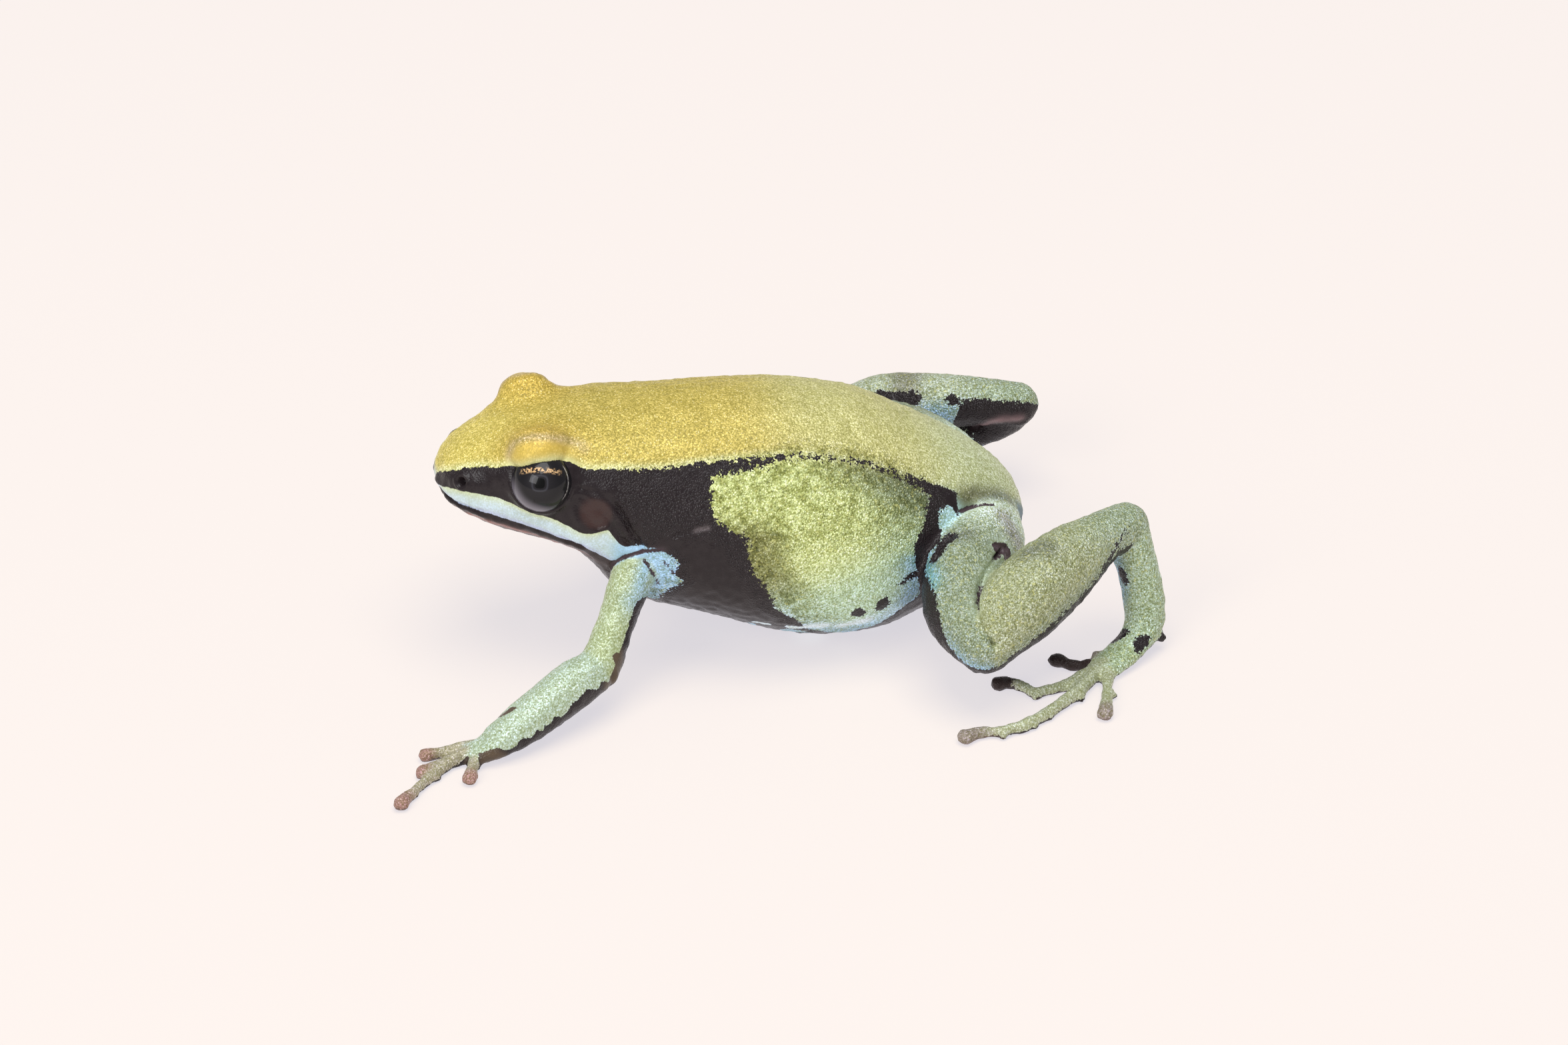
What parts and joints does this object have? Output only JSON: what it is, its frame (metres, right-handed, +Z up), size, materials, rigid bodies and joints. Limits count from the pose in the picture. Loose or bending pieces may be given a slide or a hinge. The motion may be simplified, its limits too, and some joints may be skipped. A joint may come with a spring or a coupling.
{
  "type": "green mantella frog model",
  "caption": "Life-size small frog in a slow walking stance, head raised, one arm stretched forward and hind legs bent, resting on belly, hands and feet.",
  "frame": {"origin": "on the floor, under the middle of the bounding box", "axes": "the frog faces -X, its left side is towards -Y, +Z is up"},
  "size_m": [0.0375, 0.03, 0.0128],
  "materials": {
    "back_skin": "moist, finely granular, satin to gloss",
    "limb_skin": "moist, finely granular, satin to gloss",
    "eye": "wet gloss"
  },
  "bodies": {
    "root": {"head": "back_skin", "torso": "back_skin", "eye_left": "eye", "eye_right": "eye", "upper_arm_left": "limb_skin", "forearm_left": "limb_skin", "hand_left": "limb_skin", "upper_arm_right": "limb_skin", "forearm_right": "limb_skin", "hand_right": "limb_skin", "thigh_left": "limb_skin", "shank_left": "limb_skin", "tarsus_left": "limb_skin", "foot_left": "limb_skin", "thigh_right": "limb_skin", "shank_right": "limb_skin", "tarsus_right": "limb_skin", "foot_right": "limb_skin"}
  },
  "joints": []
}
